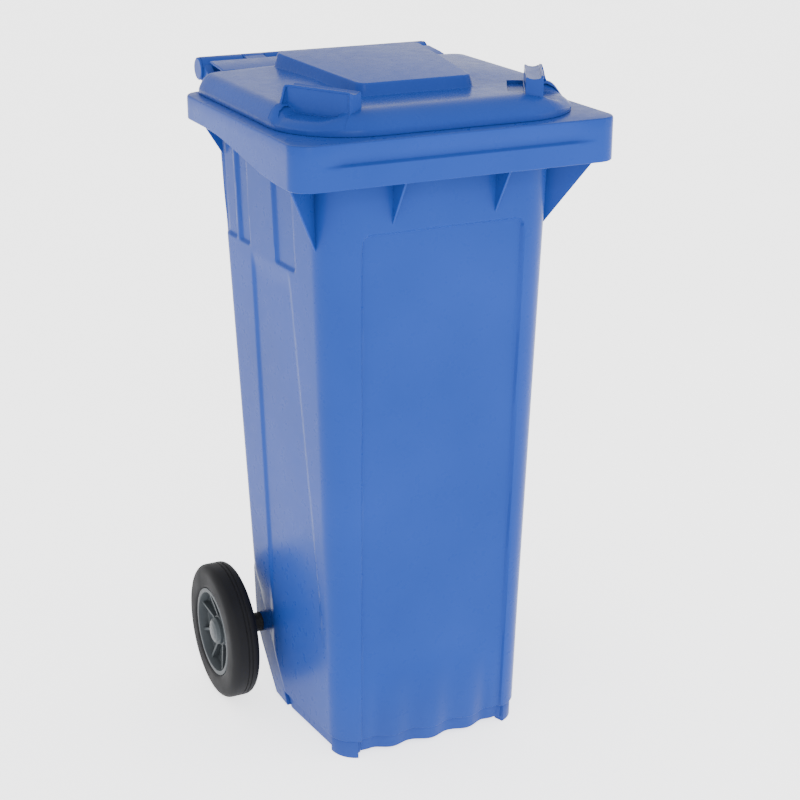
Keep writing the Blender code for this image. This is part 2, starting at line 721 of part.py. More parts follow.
def hub_profile():
    """Hub section: bored boss, web and the outer ring that holds the tyre."""
    web_low, web_high = HUB_WEB_X
    inner, outer = HUB_RING
    return [
        (HUB_FACE[0], AXLE_BORE), (HUB_FACE[0], HUB_BOSS_RADIUS - 0.001),
        (HUB_FACE[0] + 0.001, HUB_BOSS_RADIUS), (web_low, HUB_BOSS_RADIUS + 0.002),
        (web_low, inner - 0.001), (HUB_RING_X[0], inner), (HUB_RING_X[0], outer),
        (HUB_RING_X[1] - 0.002, outer), (HUB_RING_X[1], outer - 0.002), (HUB_RING_X[1], inner + 0.001),
        (HUB_RING_X[1] - 0.003, inner), (web_high, inner - 0.002), (web_high, HUB_BOSS_RADIUS + 0.003),
        (HUB_FACE[1] - 0.001, HUB_BOSS_RADIUS), (HUB_FACE[1], HUB_BOSS_RADIUS - 0.001),
        (HUB_FACE[1], AXLE_BORE)]


def hub_spokes(side):
    """Radial ribs on the outer face of the hub."""
    inner = HUB_BOSS_RADIUS - 0.003
    outer = HUB_RING[0] + 0.003
    low = HUB_WEB_X[0] + 0.002
    corners = [(low, inner), (0.2175, inner), (0.2265, outer), (low, outer)]
    builder = bmesh.new()
    for spoke in range(HUB_SPOKES):
        spin = Matrix.Rotation(math.tau * (spoke + 0.5) / HUB_SPOKES, 3, "X")
        base = [spin @ Vector((side * x, -HUB_SPOKE_HALF, radius)) + WHEEL_CENTRE for x, radius in corners]
        add_prism(builder, base, spin @ Vector((0, 2 * HUB_SPOKE_HALF, 0)))
    return builder


def nut_profile():
    """Push nut: a spring-steel dish pressed on the axle's end."""
    low, high = NUT
    return [(low, AXLE_BORE), (low, NUT_RADIUS), (low + 0.0008, NUT_RADIUS), (high, AXLE_BORE + 0.0025),
            (high, AXLE_BORE)]


def cap_profile():
    """Hub cap: a shallow dome with an open hollow back, from the inside round to the outside."""
    low, high = CAP_X
    inside = [(high - CAP_WALL, CAP_RADIUS - 0.0165), (high - CAP_WALL - 0.001, CAP_RADIUS - 0.010),
              (high - CAP_WALL - 0.003, CAP_RADIUS - 0.005), (low, CAP_RADIUS - CAP_WALL)]
    outside = [(low, CAP_RADIUS), (low + 0.004, CAP_RADIUS - 0.0003), (high - 0.003, CAP_RADIUS - 0.004),
               (high - 0.0008, CAP_RADIUS - 0.010), (high, CAP_RADIUS - 0.0165)]
    return inside + outside


def make_running_gear(name, side, finishes):
    """Sleeve, washer, hub, tyre, push nut and cap of one side."""
    sleeve = tube_profile(*SLEEVE, AXLE_BORE, SLEEVE_RADIUS)
    washer = tube_profile(*WASHER, AXLE_BORE, WASHER_RADIUS, 0.0003)
    rings = (
        ("axle_sleeve_", sleeve, "sleeve", BAR_STEPS),
        ("thrust_washer_", washer, "washer", BAR_STEPS),
        ("push_nut_", nut_profile(), "nut", BAR_STEPS),
        ("tyre_", tyre_profile(), "tyre", WHEEL_STEPS))
    for prefix, profile, slot, steps in rings:
        make_object(prefix + name, turned_ring(mirrored(profile, side), steps), finishes[slot](name), WHEEL_CENTRE)
    cap = turned_solid(mirrored(cap_profile(), side))
    make_object("hub_cap_" + name, cap, finishes["cap"](name), WHEEL_CENTRE)
    hub = make_object(
        "wheel_hub_" + name, turned_ring(mirrored(hub_profile(), side), WHEEL_STEPS), finishes["hub"](name),
        WHEEL_CENTRE)
    combine(hub, "hub_spokes_" + name, hub_spokes(side), "UNION")


def side_finish(prefix, color, roughness, metallic=0.0):
    return lambda name: make_material(prefix + name, color, roughness, metallic)


def main():
    clear_scene()
    make_body(make_material("body_plastic", PLASTIC_BLUE, 0.42))
    make_lid(make_material("lid_plastic", PLASTIC_BLUE, 0.40))
    make_axle(make_material("axle_steel", STEEL, 0.35, 1.0))
    finishes = {
        "sleeve": side_finish("sleeve_plastic_", PLASTIC_BLACK, 0.45),
        "washer": side_finish("washer_plastic_", PLASTIC_BLACK, 0.40),
        "nut": side_finish("nut_steel_", STEEL, 0.30, 1.0),
        "tyre": side_finish("tyre_rubber_", RUBBER_BLACK, 0.75),
        "cap": side_finish("cap_plastic_", HUB_GREY, 0.45),
        "hub": side_finish("hub_plastic_", HUB_GREY, 0.50)}
    for name, side in (("left", -1), ("right", 1)):
        make_running_gear(name, side, finishes)
        make_hinge_pin("hinge_pin_" + name, side, make_material("pin_plastic_" + name, PLASTIC_BLUE, 0.40))


main()
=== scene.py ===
"""Looks of the two-wheeled wheelie bin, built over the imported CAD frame."""

import math

import bmesh
import bpy
from mathutils import Matrix, Vector


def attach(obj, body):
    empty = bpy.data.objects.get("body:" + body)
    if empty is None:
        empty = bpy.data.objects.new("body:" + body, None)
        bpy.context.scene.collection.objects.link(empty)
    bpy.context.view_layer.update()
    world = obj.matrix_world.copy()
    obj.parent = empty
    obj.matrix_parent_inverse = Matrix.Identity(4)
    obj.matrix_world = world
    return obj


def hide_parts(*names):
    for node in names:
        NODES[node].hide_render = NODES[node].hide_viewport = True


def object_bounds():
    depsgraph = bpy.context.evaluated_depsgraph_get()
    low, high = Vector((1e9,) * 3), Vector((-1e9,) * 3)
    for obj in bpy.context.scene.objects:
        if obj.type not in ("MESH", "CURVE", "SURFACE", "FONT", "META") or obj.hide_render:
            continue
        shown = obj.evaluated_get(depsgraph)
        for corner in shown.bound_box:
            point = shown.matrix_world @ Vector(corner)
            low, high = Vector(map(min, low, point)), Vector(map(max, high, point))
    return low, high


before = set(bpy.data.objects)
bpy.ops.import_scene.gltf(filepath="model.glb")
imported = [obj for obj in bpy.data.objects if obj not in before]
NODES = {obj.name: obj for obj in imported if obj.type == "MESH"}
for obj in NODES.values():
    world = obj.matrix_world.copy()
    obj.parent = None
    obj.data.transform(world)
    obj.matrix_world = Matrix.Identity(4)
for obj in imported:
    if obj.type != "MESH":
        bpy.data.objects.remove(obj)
CAD_BOX = [list(corner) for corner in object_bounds()]

FRONT_Y = CAD_BOX[0][1]

# Body.
RIM_HALF = 0.2225
RIM_DEPTH = 0.404
RIM_TOP = 0.887
RIM_CORNER = 0.028
RIM_RIB = 0.003
SKIRT = 0.004
SKIRT_FRONT_Z = 0.831
SKIRT_REAR_Z = 0.855
SKIRT_CLIMB = (0.052, 0.312)
GROOVE_Z = 0.861
GROOVE_DEPTH = 0.0052
GROOVE_FADE_X = (0.150, 0.192)
GROOVE_FADE_BACK = (0.03, 0.08)
BASE_Z = 0.028
WALL = 0.004
FRONT_WALL = 0.0125
TUB_FRONT_HALF = (0.141, 0.1657)
TUB_REAR_HALF = (0.158, 0.1845)
TUB_FRONT_BACK = (0.075, 0.0473)
TUB_REAR_BACK = (0.3554, 0.3945)
TUB_FRONT_RADIUS = (0.040, 0.052)
TUB_REAR_RADIUS = 0.024
BAND_INSET = 0.005
BAND_BOTTOM = 0.006
FLOOR_BOTTOM = 0.012
FLOOR_TOP = 0.0165
BAY_TOP = 0.180
INNER_ROWS = (0.7, 0.5, 0.3, 0.2, BAY_TOP, 0.15, 0.12, 0.08)
BAY_SLOPE = 0.55
ROW_STEP = 0.009
ROW_COUNT = 95
FINE_STEP = 0.0016
ROW_GAP = 0.0011
FRONT_FADE = (0.11, 0.15)
SIDE_FADE_X = (0.10, 0.125)
SIDE_FADE_BACK = (0.372, 0.38)
PANEL_HALF = (0.1095, 0.1145)
PANEL_TOP = 0.757
FINE_ROWS = ((PANEL_TOP - 0.016, PANEL_TOP + 0.004), (0.688, 0.702))
PANEL_RADIUS = 0.012
PANEL_DEPTH = 0.0048
PANEL_EDGE = 0.0018
FLUTE_PITCH = 0.060
FLUTE_CENTRE = -0.003
FLUTE_FADE_X = (0.080, 0.104)
FLUTE_FADE_Z = (0.030, 0.150)
FLUTE_DEPTH = 0.0040
BASE_BOW = 0.0085
STRIPS = ((0.151, 0.206, 0.693), (0.290, 0.3206, 0.697), (0.332, 0.372, 0.697))
STRIP_DEPTH = 0.0034
STRIP_EDGE = 0.0028
STRIP_FOOT = 0.003
CREASE = (0.126, 0.169)
CREASE_LOW_Z = 0.232
CREASE_RISE = 0.432
CREASE_LIMITS = (0.120, 0.172)
CREASE_EDGE = 0.004
SIDE_PANEL_DEPTH = 0.0026
SIDE_PANEL_REAR = (0.280, 0.288)
SIDE_PANEL_FOOT = (0.14, 0.26)
SIDE_PANEL_HEAD = (0.66, 0.692)
WELL_X = 0.1556
WELL_FRONT = 0.287
WELL_EDGE = 0.006
WELL_TOP = 0.165
WELL_FADE = (0.03, 0.035)
WEBS = (
    ((0.1475, 0.1555), (0.0200, 0.0200, 0.0185, 0.0100, 0.0085)),
    ((0.048, 0.054), (0.0070, 0.0066, 0.0034, 0.0020, 0.0020)))
FOOT_RADIUS = 0.040
FOOT_TURN = (-70, -3)
FOOT_STEPS = 16

# Hinge and handle.
HINGE = Vector((0.0, FRONT_Y + 0.467, 0.906))
BARREL_RADIUS = 0.016
BARREL_END = 0.173
KNUCKLE = (0.079, 0.111)
KNUCKLE_GAP = 0.0005
ARM = 0.011
ARM_END = 0.001
ARM_SPACE = 0.0015

# Lid.
LID_BOTTOM = 0.8873
LID_HALF = 0.206
LID_FRONT = 0.021
LID_REAR = 0.400
LID_FRONT_RADIUS = 0.105
LID_REAR_RADIUS = 0.025
LID_SHELL = 0.003
LID_ROWS = (
    (0.8873, 0.0, 0.0), (0.8930, 0.0, 0.0), (0.8958, 0.0007, 0.0011), (0.9000, 0.0024, 0.0044),
    (0.9040, 0.0043, 0.0087), (0.9075, 0.0064, 0.0134), (0.9108, 0.0090, 0.0190), (0.9133, 0.0122, 0.0252),
    (0.9148, 0.0160, 0.0325), (0.9153, 0.0200, 0.0390))
PLATEAU_FRONT = 0.134
PLATEAU_REAR = 0.352
PLATEAU_HALF = (0.079, 0.107)
PLATEAU_Z = (0.930, 0.941)
PLATEAU_RADIUS = 0.012
FLOOR_Z = (0.9140, 0.9215)

# Grips.
GRIP_REAR = Vector((0.179, 0.132))
GRIP_FRONT = Vector((0.133, 0.046))
RIDGE_WIDTH = 0.021
RIDGE_TOP = 0.936
RIDGE_END = 0.002
RIDGE_BOTTOM = 0.901
SCOOP_ROWS = (
    (-0.0120, 0.8890, 0.8900, 0.8895), (0.0015, 0.8935, 0.8975, 0.8960), (0.0035, 0.8957, 0.9020, 0.8987),
    (0.0060, 0.8977, 0.9065, 0.9012), (0.0085, 0.8994, 0.9099, 0.9035), (0.0110, 0.9007, 0.9121, 0.9055),
    (0.0138, 0.9018, 0.9136, 0.9074), (0.0165, 0.9024, 0.9146, 0.9090))
SCOOP_BACK = (0.9040, 0.9148, 0.9130)
SCOOP_FADE = (0.20, 0.62)
SCOOP_PLATE = (0.0050, 0.0012)
PLATE_SINK = 0.0016
PLATE_INSET = 0.0022
SCOOP_STEPS = 36
SCOOP_REAR_WAY = Vector((0.993, -0.119))
SCOOP_FRONT_WAY = Vector((0.661, -0.750))
SCOOP_REAR_RETURN = (
    (-0.004, 0.900), (-0.004, 0.935), (0.0015, 0.934), (0.0030, 0.929), (0.0045, 0.922), (0.0078, 0.9135),
    (0.0125, 0.9075), (0.020, 0.900))
RETURN_WALL = 0.006
RETURN_OVERLAP = 0.002
GRIP_WALL = 0.004
CLEARANCE = 0.03
RECESS_WIDTH = (0.0226, 0.044)
RECESS_LENGTH = (-0.002, 0.080)
RECESS_FLOOR = 0.910
TRAY = 0.0035
DECK_HALF = 0.168
BEAD = 0.0017

# Wheels.
WHEEL_RADIUS = 0.100
WHEEL_CENTRE = Vector((0.0, FRONT_Y + 0.341, WHEEL_RADIUS))
HUB_BORE = 0.0103
HUB_SPOKES = 8
HUB_SPOKE_HALF = 0.0022
TYRE_EDGES = (0.192, 0.234)
TYRE_SHOULDER = (0.011, 0.013)
TYRE_SEAT = 0.0658
TYRE_GROOVES = (0.2050, 0.2105)
GROOVE_DIP = 0.0012
SHOULDER_STEPS = 8
WHEEL_STEPS = 128

STEPS = {"front": 46, "corner": 30, "side": 84, "rear_corner": 10, "rear": 10}
LID_STEPS = {"front": 12, "corner": 18, "side": 12, "rear_corner": 8, "rear": 10}

# Colours.
BODY_BLUE = (0.013, 0.043, 0.232)
DUST = (0.10, 0.10, 0.11)
RUBBER_BLACK = ((0.0085, 0.0085, 0.0098), (0.0110, 0.0112, 0.0125))
ZINC = ((0.42, 0.43, 0.44), (0.60, 0.61, 0.62))
FLOOR_PALE = ((0.93, 0.93, 0.93), (0.97, 0.97, 0.97))
HUB_GREY = (0.036, 0.042, 0.047)
CAP_GREY = (0.038, 0.045, 0.050)
SLEEVE_BLACK = (0.007, 0.007, 0.008)

# Stage, light and camera.
FLOOR_REACH = 14.0
FLOOR_GLOW = 1.9
WORLD_STRENGTH = 1.7
LAMPS = (
    ("key", (-1.0, -3.2, 1.9), (0, 0, 0.5), (1.4, 1.4), 40),
    ("side", (2.6, -1.6, 1.4), (0, 0, 0.5), (1.2, 1.8), 18),
    ("spark", (-0.4, -2.6, 2.3), (0, 0, 0.8), (0.12, 0.12), 9))
SENSOR_WIDTH = 36.0
LENS = 76.95
EYE = (-0.9569, -2.0529, 1.3005)
LOOK = Vector((0.40566, 0.84542, -0.34742))


def mix(pair, share):
    return pair[0] + (pair[1] - pair[0]) * share


def ease(low, high, value):
    """Smooth step from 0 at low to 1 at high."""
    share = min(max((value - low) / (high - low), 0.0), 1.0)
    return share * share * (3 - 2 * share)


def behind(distance):
    return FRONT_Y + distance


# ---------------------------------------------------------------- materials

def new_material(name):
    made = bpy.data.materials.new(name)
    made.use_nodes = True
    tree = made.node_tree
    shader = tree.nodes["Principled BSDF"]
    return made, tree, shader


def add_node(tree, kind, **inputs):
    node = tree.nodes.new(kind)
    for name, value in inputs.items():
        node.inputs[name.replace("_", " ")].default_value = value
    return node


def noise(tree, coords, scale, detail=4.0, roughness=0.5):
    node = add_node(tree, "ShaderNodeTexNoise", Scale=scale, Detail=detail, Roughness=roughness)
    tree.links.new(coords, node.inputs["Vector"])
    return node.outputs["Fac"]


def map_range(tree, value, low, high, out_low, out_high):
    node = add_node(tree, "ShaderNodeMapRange")
    node.inputs["From Min"].default_value = low
    node.inputs["From Max"].default_value = high
    node.inputs["To Min"].default_value = out_low
    node.inputs["To Max"].default_value = out_high
    tree.links.new(value, node.inputs["Value"])
    return node.outputs["Result"]


def blend_colors(tree, share, first, second):
    """Mix two colours, or a link and a colour, by a share."""
    node = tree.nodes.new("ShaderNodeMix")
    node.data_type = "RGBA"
    tree.links.new(share, node.inputs["Factor"])
    for socket, value in (("A", first), ("B", second)):
        target = [item for item in node.inputs if item.name == socket and item.type == "RGBA"][0]
        if isinstance(value, tuple):
            target.default_value = (*value, 1.0)
        else:
            tree.links.new(value, target)
    return [item for item in node.outputs if item.type == "RGBA"][0]


def add_bump(tree, shader, layers, edge_radius=0.0):
    """Stack bumps of (height, strength, distance) on the shader's normal."""
    normal = None
    if edge_radius:
        bevel = add_node(tree, "ShaderNodeBevel", Radius=edge_radius)
        bevel.samples = 6
        normal = bevel.outputs["Normal"]
    for height, strength, distance in layers:
        bump = add_node(tree, "ShaderNodeBump", Strength=strength, Distance=distance)
        tree.links.new(height, bump.inputs["Height"])
        if normal is not None:
            tree.links.new(normal, bump.inputs["Normal"])
        normal = bump.outputs["Normal"]
    tree.links.new(normal, shader.inputs["Normal"])


def moulded_plastic(name, color, roughness, edge_radius=0.0012, soil=True):
    """Satin moulded polyethylene: mottled colour, fine grain, faint scuffs, dust near the ground."""
    made, tree, shader = new_material(name)
    coords = add_node(tree, "ShaderNodeTexCoord").outputs["Object"]
    broad = noise(tree, coords, 5.0, 3.0)
    fine = noise(tree, coords, 900.0, 2.0)
    waves = noise(tree, coords, 16.0, 2.0)
    scuff_noise = noise(tree, coords, 60.0, 6.0, 0.65)
    light = tuple(min(1.0, channel * 1.07 + 0.001) for channel in color)
    dark = tuple(channel * 0.93 for channel in color)
    base = blend_colors(tree, map_range(tree, broad, 0.3, 0.7, 0.0, 1.0), dark, light)
    scuffs = map_range(tree, scuff_noise, 0.66, 0.80, 0.0, 0.16)
    base = blend_colors(tree, scuffs, base, tuple(min(1.0, channel * 1.25 + 0.006) for channel in color))
    if soil:
        split = add_node(tree, "ShaderNodeSeparateXYZ")
        tree.links.new(coords, split.inputs["Vector"])
        low = map_range(tree, split.outputs["Z"], 0.0, 0.12, 0.10, 0.0)
        base = blend_colors(tree, low, base, DUST)
    tree.links.new(base, shader.inputs["Base Color"])
    rough = map_range(tree, scuff_noise, 0.35, 0.75, roughness - 0.04, roughness + 0.06)
    tree.links.new(rough, shader.inputs["Roughness"])
    shader.inputs["Specular IOR Level"].default_value = 0.05
    add_bump(tree, shader, ((fine, 0.05, 0.0002), (waves, 0.10, 0.0010)), edge_radius)
    return made


def wheel_rubber(name):
    """Solid black rubber with pale dust in its grain."""
    made, tree, shader = new_material(name)
    coords = add_node(tree, "ShaderNodeTexCoord").outputs["Object"]
    broad = noise(tree, coords, 22.0, 5.0)
    fine = noise(tree, coords, 700.0, 3.0)
    base = blend_colors(tree, map_range(tree, broad, 0.35, 0.7, 0.0, 1.0), *RUBBER_BLACK)
    tree.links.new(base, shader.inputs["Base Color"])
    tree.links.new(map_range(tree, broad, 0.3, 0.7, 0.55, 0.72), shader.inputs["Roughness"])
    shader.inputs["Specular IOR Level"].default_value = 0.08
    add_bump(tree, shader, ((fine, 0.15, 0.0004),), 0.0008)
    return made


def plain_plastic(name, color, roughness):
    """Dull moulded plastic for the small parts."""
    made, tree, shader = new_material(name)
    coords = add_node(tree, "ShaderNodeTexCoord").outputs["Object"]
    broad = noise(tree, coords, 30.0, 4.0)
    fine = noise(tree, coords, 800.0, 2.0)
    light = tuple(channel * 1.2 + 0.0005 for channel in color)
    dark = tuple(channel * 0.85 for channel in color)
    base = blend_colors(tree, map_range(tree, broad, 0.3, 0.7, 0.0, 1.0), dark, light)
    tree.links.new(base, shader.inputs["Base Color"])
    rough = map_range(tree, broad, 0.3, 0.7, roughness - 0.05, roughness + 0.08)
    tree.links.new(rough, shader.inputs["Roughness"])
    shader.inputs["Specular IOR Level"].default_value = 0.15
    add_bump(tree, shader, ((fine, 0.12, 0.0003),), 0.0008)
    return made


def plated_steel(name):
    """Zinc-plated bar with faint streaks."""
    made, tree, shader = new_material(name)
    coords = add_node(tree, "ShaderNodeTexCoord").outputs["Object"]
    streaks = noise(tree, coords, 90.0, 6.0, 0.6)
    base = blend_colors(tree, map_range(tree, streaks, 0.3, 0.7, 0.0, 1.0), *ZINC)
    tree.links.new(base, shader.inputs["Base Color"])
    tree.links.new(map_range(tree, streaks, 0.3, 0.7, 0.28, 0.42), shader.inputs["Roughness"])
    shader.inputs["Metallic"].default_value = 1.0
    add_bump(tree, shader, ((streaks, 0.08, 0.0002),))
    return made


def paint_floor():
    """Pale, slightly uneven studio floor."""
    made, tree, shader = new_material("studio_floor")
    coords = add_node(tree, "ShaderNodeTexCoord").outputs["Object"]
    broad = noise(tree, coords, 1.5, 3.0)
    base = blend_colors(tree, map_range(tree, broad, 0.3, 0.7, 0.0, 1.0), *FLOOR_PALE)
    tree.links.new(base, shader.inputs["Base Color"])
    shader.inputs["Roughness"].default_value = 0.8
    shader.inputs["Emission Color"].default_value = (1.0, 1.0, 1.0, 1.0)
    shader.inputs["Emission Strength"].default_value = FLOOR_GLOW
    return made


BODY_PLASTIC = moulded_plastic("body_polyethylene", BODY_BLUE, 0.30)
LID_PLASTIC = moulded_plastic("lid_polyethylene", BODY_BLUE, 0.27, soil=False)
PIN_PLASTIC = moulded_plastic("pin_polyethylene", BODY_BLUE, 0.30, soil=False)
RUBBER = wheel_rubber("tyre_rubber_black")
HUB_PLASTIC = plain_plastic("hub_dark_grey", HUB_GREY, 0.45)
CAP_PLASTIC = plain_plastic("cap_dark_grey", CAP_GREY, 0.40)
BLACK_PLASTIC = plain_plastic("sleeve_black", SLEEVE_BLACK, 0.42)
STEEL = plated_steel("axle_zinc")


# ---------------------------------------------------------------- mesh helpers

def make_piece(name, builder, body, finish, sharp=32, bevel=0.0, replaces=()):
    """Turn a bmesh into a piece that rides on a CAD body."""
    bmesh.ops.remove_doubles(builder, verts=builder.verts, dist=1e-6)
    bmesh.ops.recalc_face_normals(builder, faces=builder.faces)
    mesh = bpy.data.meshes.new(name)
    builder.to_mesh(mesh)
    builder.free()
    mesh.materials.append(finish)
    mesh.shade_smooth()
    mesh.set_sharp_from_angle(angle=math.radians(sharp))
    piece = bpy.data.objects.new(name, mesh)
    bpy.context.scene.collection.objects.link(piece)
    if bevel:
        add_bevel(piece, bevel)
    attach(piece, body)
    if replaces:
        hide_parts(*replaces)
    return piece


def add_bevel(piece, width):
    modifier = piece.modifiers.new("edges", "BEVEL")
    modifier.width = width
    modifier.segments = 2
    modifier.limit_method = "ANGLE"
    modifier.angle_limit = math.radians(40)
    modifier.harden_normals = False


def combine(target, name, builder, operation):
    """Join a tool solid to the target, or cut the target with it, for good."""
    bmesh.ops.remove_doubles(builder, verts=builder.verts, dist=1e-6)
    bmesh.ops.recalc_face_normals(builder, faces=builder.faces)
    mesh = bpy.data.meshes.new(name)
    builder.to_mesh(mesh)
    builder.free()
    tool = bpy.data.objects.new(name, mesh)
    bpy.context.scene.collection.objects.link(tool)
    modifier = target.modifiers.new(name, "BOOLEAN")
    modifier.operation = operation
    modifier.solver = "EXACT"
    modifier.use_self = operation == "UNION"
    modifier.object = tool
    return tool


def settle(target, tools, sharp=32):
    """Keep the result of the target's modifiers as its mesh and drop the tools."""
    graph = bpy.context.evaluated_depsgraph_get()
    result = bpy.data.meshes.new_from_object(target.evaluated_get(graph))
    target.modifiers.clear()
    target.data = result
    result.shade_smooth()
    result.set_sharp_from_angle(angle=math.radians(sharp))
    for tool in tools:
        bpy.data.objects.remove(tool, do_unlink=True)


def outline(front_half, rear_half, front_y, rear_y, front_radius, rear_radius, steps):
    """A four-sided outline with rounded corners, from the middle of the front round by the right."""
    slant = math.atan2(rear_half - front_half, rear_y - front_y)

    def corner(y, radius, start, end, count):
        centre_x = front_half + (y - front_y) * math.tan(slant) - radius / math.cos(slant)
        turns = [start + (end - start) * step / count for step in range(count + 1)]
        return [(centre_x + radius * math.cos(turn), y + radius * math.sin(turn)) for turn in turns]

    def between(start, end, count):
        shares = [step / count for step in range(1, count)]
        return [(start[0] + (end[0] - start[0]) * s, start[1] + (end[1] - start[1]) * s) for s in shares]

    front_arc = corner(front_y + front_radius, front_radius, -math.pi / 2, -slant, steps["corner"])
    rear_arc = corner(rear_y - rear_radius, rear_radius, -slant, math.pi / 2, steps["rear_corner"])
    front = (0.0, front_y)
    rear = (0.0, rear_y)
    right = [front, *between(front, front_arc[0], steps["front"]), *front_arc]
    right += [*between(front_arc[-1], rear_arc[0], steps["side"]), *rear_arc]
    right += between(rear_arc[-1], rear, steps["rear"])
    left = [(-x, y) for x, y in reversed(right[1:])]
    return right + [rear] + left


def add_loft(builder, rings):
    """Add the skin through closed rings of points, with a face over each end."""
    loops = [[builder.verts.new(point) for point in ring] for ring in rings]
    count = len(loops[0])
    for lower, upper in zip(loops, loops[1:]):
        for i in range(count):
            j = (i + 1) % count
            builder.faces.new((lower[i], lower[j], upper[j], upper[i]))
    builder.faces.new(list(reversed(loops[0])))
    builder.faces.new(loops[-1])


def add_prism(builder, base, shift):
    """Add the solid swept by a flat polygon along a straight shift."""
    moved = [Vector(point) + Vector(shift) for point in base]
    add_loft(builder, [base, moved])


def circle(x, radius, steps, centre=(0.0, 0.0)):
    turns = [math.tau * step / steps for step in range(steps)]
    return [(x, centre[0] + radius * math.cos(turn), centre[1] + radius * math.sin(turn)) for turn in turns]


def add_rods(builder, spans, radius, centre, steps=48, edge=0.0008):
    """Add round rods along X with small rounded ends."""
    for low, high in spans:
        stations = ((low, radius - edge), (low + edge * 0.3, radius - edge * 0.3), (low + edge, radius),
                    (high - edge, radius), (high - edge * 0.3, radius - edge * 0.3), (high, radius - edge))
        add_loft(builder, [circle(x, size, steps, centre) for x, size in stations])


def add_turned_ring(builder, profile, steps, centre):
    """Add a ring turned about X from a closed profile of (x, radius) points."""
    rings = [circle(x, radius, steps, centre) for x, radius in profile]
    loops = [[builder.verts.new(point) for point in ring] for ring in rings]
    for lower, upper in zip(loops, loops[1:] + loops[:1]):
        for i in range(steps):
            j = (i + 1) % steps
            builder.faces.new((lower[i], lower[j], upper[j], upper[i]))


def add_tube(builder, path, radius, steps=10):
    """Add a round bead along a path of points."""
    rings = []
    for index, place in enumerate(path):
        before = path[max(index - 1, 0)]
        after = path[min(index + 1, len(path) - 1)]
        way = (after - before).normalized()
        side = way.cross(Vector((0.0, 0.0, 1.0)))
        if side.length < 0.1:
            side = way.cross(Vector((1.0, 0.0, 0.0)))
        side.normalize()
        up = side.cross(way).normalized()
        ring = []
        for step in range(steps):
            turn = math.tau * step / steps
            ring.append(place + side * (radius * math.cos(turn)) + up * (radius * math.sin(turn)))
        rings.append(ring)
    add_loft(builder, rings)


# ---------------------------------------------------------------- body

def tub_share(z):
    return (z - BASE_Z) / (RIM_TOP - BASE_Z)


def rear_wall(z):
    """How far behind the front the tub's rear face is, with the axle bay's slope below."""
    return mix(TUB_REAR_BACK, tub_share(z)) - max(0.0, BAY_TOP - z) * BAY_SLOPE


def front_relief(x, z):
    """How far the front face is pushed back at a place: panel, bow and flutes of the base."""
    half = mix(PANEL_HALF, tub_share(z))
    top = PANEL_TOP
    over = abs(x) - (half - PANEL_RADIUS)
    if over > 0 and z > PANEL_TOP - PANEL_RADIUS:
        reach = min(over, PANEL_RADIUS)
        top = PANEL_TOP - PANEL_RADIUS + math.sqrt(max(0.0, PANEL_RADIUS ** 2 - reach ** 2))
    panel = 1 - ease(half - PANEL_EDGE, half + PANEL_EDGE, abs(x))
    panel *= 1 - ease(top - PANEL_EDGE, top + PANEL_EDGE, z)
    low = 1 - ease(*FLUTE_FADE_Z, z)
    across = 1 - ease(*FLUTE_FADE_X, abs(x))
    wave = math.cos(math.tau * (x - FLUTE_CENTRE) / FLUTE_PITCH)
    bow = 1 - (min(abs(x), FLUTE_FADE_X[1]) / FLUTE_FADE_X[1]) ** 2
    push = PANEL_DEPTH * panel
    push -= FLUTE_DEPTH * wave * low * across
    push -= BASE_BOW * low * bow
    return push


def side_relief(back, z):
    """How far a side is pushed in: strips under the rim and the panel between the two creases."""
    push = 0.0
    for low, high, bottom in STRIPS:
        across = ease(low - STRIP_EDGE, low + STRIP_EDGE, back)
        across *= 1 - ease(high - STRIP_EDGE, high + STRIP_EDGE, back)
        push = max(push, STRIP_DEPTH * across * ease(bottom - STRIP_FOOT, bottom + STRIP_FOOT, z))
    crease = mix(CREASE, (z - CREASE_LOW_Z) / CREASE_RISE)
    crease = min(max(crease, CREASE_LIMITS[0]), CREASE_LIMITS[1])
    panel = ease(crease - CREASE_EDGE, crease + CREASE_EDGE, back) * (1 - ease(*SIDE_PANEL_REAR, back))
    upright = ease(*SIDE_PANEL_FOOT, z) * (1 - ease(*SIDE_PANEL_HEAD, z))
    return max(push, SIDE_PANEL_DEPTH * panel * upright)


def well_relief(half, back, z):
    """The wheel well: the side's lower rear corner is set in."""
    across = ease(WELL_FRONT - WELL_EDGE, WELL_FRONT + WELL_EDGE, back)
    upright = 1 - ease(WELL_TOP - WELL_FADE[0], WELL_TOP + WELL_FADE[1], z)
    return max(0.0, half - WELL_X) * across * upright


def tub_ring(z, inset=0.0, front_inset=None, relief=True):
    """The tub's outline at a height, moved in by the insets, with the reliefs on its outer face."""
    share = tub_share(z)
    front_inset = inset if front_inset is None else front_inset
    ring = outline(
        mix(TUB_FRONT_HALF, share) - inset, mix(TUB_REAR_HALF, share) - inset,
        behind(mix(TUB_FRONT_BACK, share) + front_inset), behind(rear_wall(z) - inset),
        mix(TUB_FRONT_RADIUS, share) - inset, TUB_REAR_RADIUS - inset, STEPS)
    points = []
    for x, y in ring:
        back = y - FRONT_Y
        sign = 1 if x > 0 else -1
        at_side = ease(*SIDE_FADE_X, abs(x))
        x -= sign * well_relief(abs(x) + inset, back, z) * at_side
        if relief:
            facing = 1 - ease(*FRONT_FADE, back)
            y += front_relief(x, z) * facing
            x -= sign * side_relief(back, z) * at_side * (1 - ease(*SIDE_FADE_BACK, back))
        points.append((x, y, z))
    return points


def skirt_bottom(y):
    """Height of the rim skirt's lower edge, which rises towards the rear."""
    return mix((SKIRT_FRONT_Z, SKIRT_REAR_Z), ease(*SKIRT_CLIMB, y - FRONT_Y))


